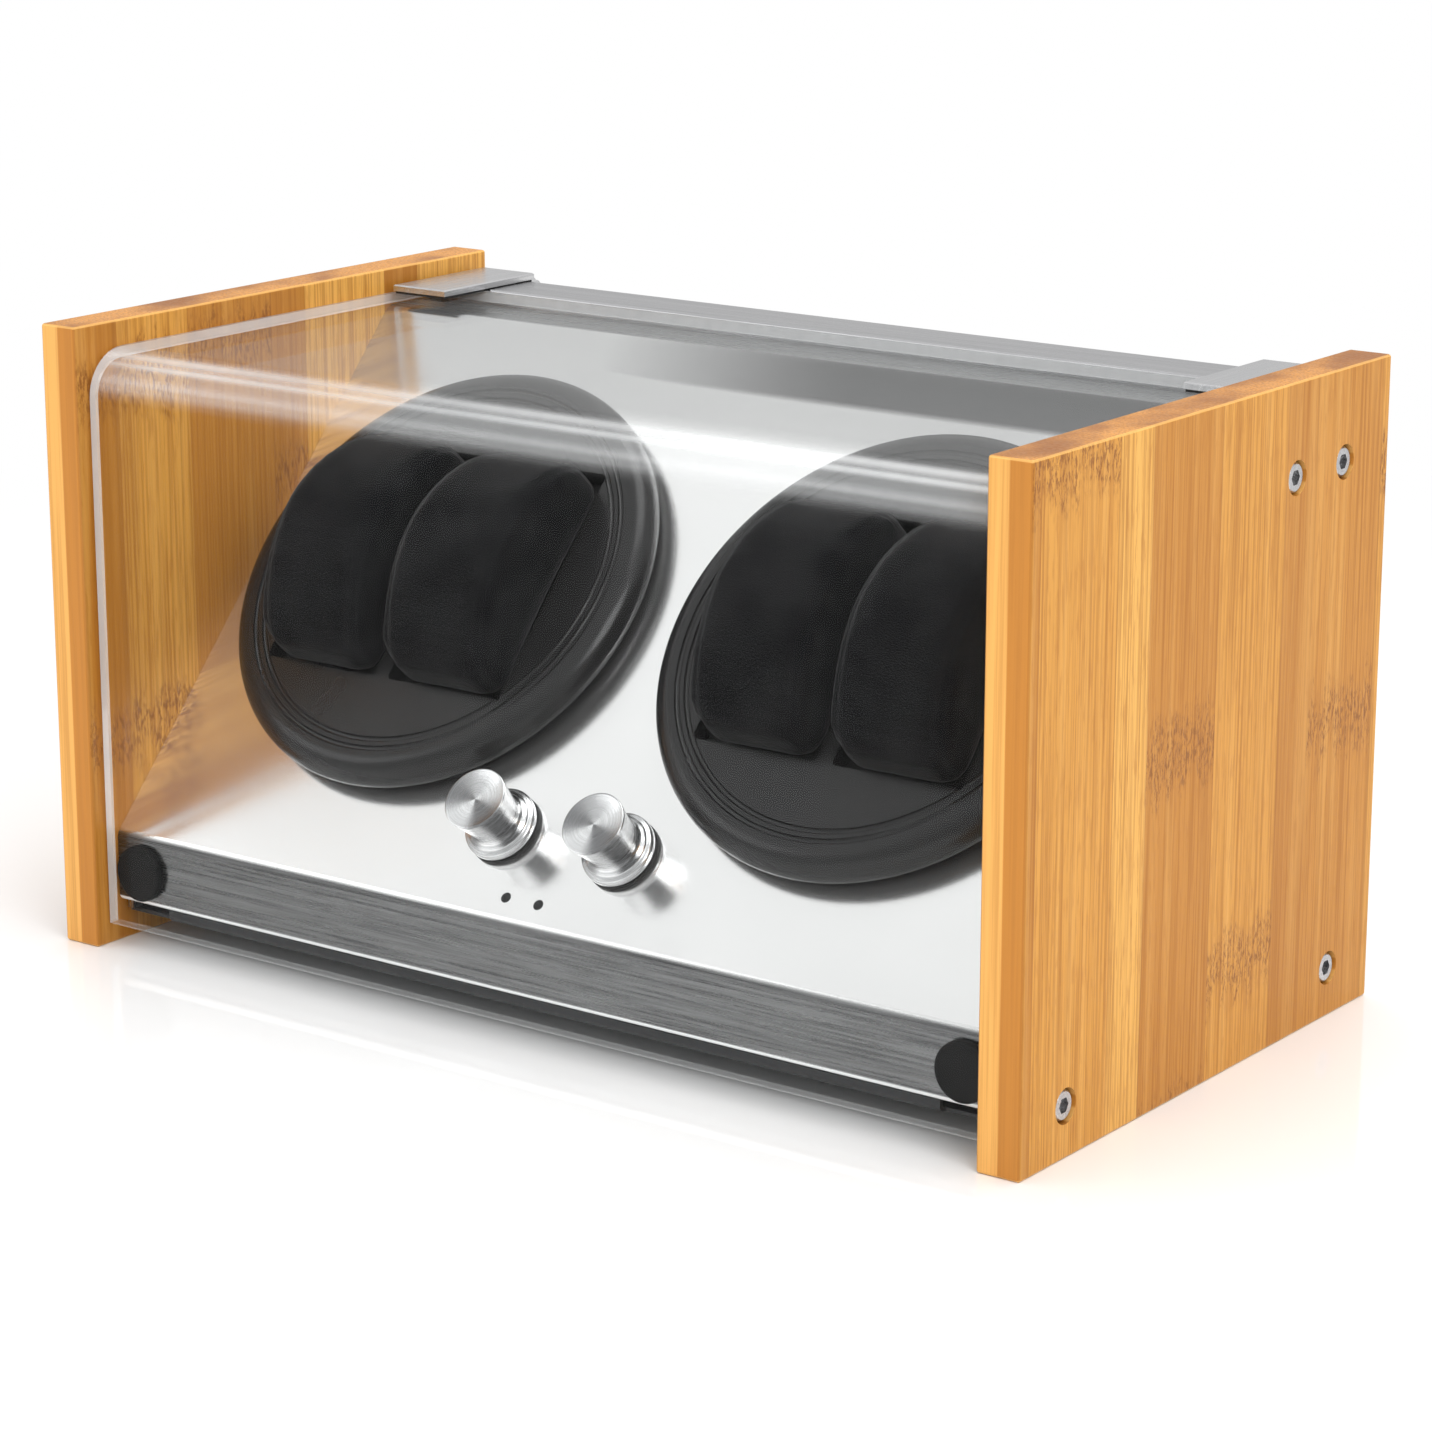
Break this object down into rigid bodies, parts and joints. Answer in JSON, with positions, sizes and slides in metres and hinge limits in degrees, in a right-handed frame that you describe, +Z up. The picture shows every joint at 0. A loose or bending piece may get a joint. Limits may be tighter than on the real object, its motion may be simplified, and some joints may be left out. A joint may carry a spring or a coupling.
{
  "type": "watch winder box",
  "caption": "Watch winder with bamboo side panels, sloping brushed-steel face, belt-driven turntables with velvet cushions, turn knobs and a hinged bent clear cover.",
  "frame": {"origin": "on the supporting surface under the middle of the box", "axes": "+X to the viewer's right along the length, +Y to the back, +Z up; the cover opens from the -Y side"},
  "size_m": [0.34, 0.187, 0.188],
  "materials": {
    "bamboo": "satin lacquered laminated bamboo, vertical grain",
    "brushed_steel": "horizontally brushed satin sheet",
    "rail_steel": "brushed satin",
    "plated_steel": "zinc plated sheet",
    "black_steel": "fine black powder coat",
    "screw_steel": "plated",
    "clear_acrylic": "clear, polished edges",
    "satin_aluminium": "satin anodised",
    "pad_rubber": "matte",
    "bumper_rubber": "matte",
    "shaft_steel": "ground",
    "charcoal_plastic": "semi-gloss moulding",
    "pulley_plastic": "natural acetal",
    "pulley_brass": "turned",
    "motor_case": "plated can",
    "belt_rubber": "matte",
    "black_velvet": "short-pile velvet",
    "spun_steel": "spun faces, turned sides",
    "switch_plastic": "moulded",
    "nut_steel": "plated",
    "lamp_lens": "dark smoked lens",
    "circuit_board": "solder mask"
  },
  "bodies": {
    "cabinet": {"base_plate": "black_steel", "bearing_bushes_left": "pulley_brass", "bearing_bushes_right": "pulley_brass", "board_fixings": "screw_steel", "bumper_left": "bumper_rubber", "bumper_right": "bumper_rubber", "cage_screws": "screw_steel", "control_board": "circuit_board", "drive_belt_left": "belt_rubber", "drive_belt_right": "belt_rubber", "end_frame_left": "plated_steel", "end_frame_right": "plated_steel", "front_panel": "brushed_steel", "hinge_leaf_left": "satin_aluminium", "hinge_leaf_right": "satin_aluminium", "hinge_pins": "shaft_steel", "hinge_rail": "rail_steel", "hinge_screws": "screw_steel", "indicator_lamps": "lamp_lens", "jack_nut": "nut_steel", "knob_seals": "pad_rubber", "motor_cage_left": "plated_steel", "motor_cage_right": "plated_steel", "motor_left": "motor_case", "motor_right": "motor_case", "power_jack": "switch_plastic", "rear_cover": "black_steel", "rear_cover_screws": "screw_steel", "rotary_switch_left": "switch_plastic", "rotary_switch_right": "switch_plastic", "side_panel_left": "bamboo", "side_panel_right": "bamboo", "side_screws_left": "screw_steel", "side_screws_right": "screw_steel", "switch_nuts": "nut_steel"},
    "cover": {"acrylic_cover": "clear_acrylic", "hinge_plate_left": "satin_aluminium", "hinge_plate_right": "satin_aluminium", "hinge_pad_left": "pad_rubber", "hinge_pad_right": "pad_rubber"},
    "turntable_left": {"turntable_left": "charcoal_plastic", "turntable_shaft_left": "shaft_steel", "driven_pulley_left": "pulley_plastic"},
    "motor_rotor_left": {"motor_shaft_left": "shaft_steel", "motor_pulley_left": "pulley_brass"},
    "knob_left": {"knob_left": "spun_steel", "switch_spindle_left": "shaft_steel"},
    "cushion_left_outer": {"cushion_left_outer": "black_velvet"},
    "cushion_left_inner": {"cushion_left_inner": "black_velvet"},
    "turntable_right": {"turntable_right": "charcoal_plastic", "turntable_shaft_right": "shaft_steel", "driven_pulley_right": "pulley_plastic"},
    "motor_rotor_right": {"motor_shaft_right": "shaft_steel", "motor_pulley_right": "pulley_brass"},
    "knob_right": {"knob_right": "spun_steel", "switch_spindle_right": "shaft_steel"},
    "cushion_right_outer": {"cushion_right_outer": "black_velvet"},
    "cushion_right_inner": {"cushion_right_inner": "black_velvet"}
  },
  "joints": [
    {"name": "cover_hinge", "type": "hinge", "parent": "cabinet", "child": "cover", "pos_m": [0, 0.0897, 0.1786], "axis": [-1, 0, 0], "range_deg": [0, 95]},
    {"name": "turntable_left_spin", "type": "hinge", "parent": "cabinet", "child": "turntable_left", "pos_m": [-0.079, -0.01696, 0.10758], "axis": [0, -0.7431, 0.6691], "continuous": true},
    {"name": "motor_left_spin", "type": "hinge", "parent": "cabinet", "child": "motor_rotor_left", "pos_m": [-0.079, -0.04774, 0.07339], "axis": [0, -0.7431, 0.6691], "continuous": true},
    {"name": "knob_left_turn", "type": "hinge", "parent": "cabinet", "child": "knob_left", "pos_m": [-0.021, -0.06513, 0.05407], "axis": [0, -0.7431, 0.6691], "range_deg": [-60, 60]},
    {"name": "cushion_left_outer_lift", "type": "slide", "parent": "turntable_left", "child": "cushion_left_outer", "axis": [0, -0.7431, 0.6691], "range_m": [0, 0.012]},
    {"name": "cushion_left_inner_lift", "type": "slide", "parent": "turntable_left", "child": "cushion_left_inner", "axis": [0, -0.7431, 0.6691], "range_m": [0, 0.012]},
    {"name": "turntable_right_spin", "type": "hinge", "parent": "cabinet", "child": "turntable_right", "pos_m": [0.079, -0.01696, 0.10758], "axis": [0, -0.7431, 0.6691], "continuous": true},
    {"name": "motor_right_spin", "type": "hinge", "parent": "cabinet", "child": "motor_rotor_right", "pos_m": [0.079, -0.04774, 0.07339], "axis": [0, -0.7431, 0.6691], "continuous": true},
    {"name": "knob_right_turn", "type": "hinge", "parent": "cabinet", "child": "knob_right", "pos_m": [0.021, -0.06513, 0.05407], "axis": [0, -0.7431, 0.6691], "range_deg": [0, 240]},
    {"name": "cushion_right_outer_lift", "type": "slide", "parent": "turntable_right", "child": "cushion_right_outer", "axis": [0, -0.7431, 0.6691], "range_m": [0, 0.012]},
    {"name": "cushion_right_inner_lift", "type": "slide", "parent": "turntable_right", "child": "cushion_right_inner", "axis": [0, -0.7431, 0.6691], "range_m": [0, 0.012]}
  ],
  "couplings": [
    {"joint": "motor_left_spin", "follows": "turntable_left_spin", "ratio": 5},
    {"joint": "motor_right_spin", "follows": "turntable_right_spin", "ratio": 5}
  ]
}
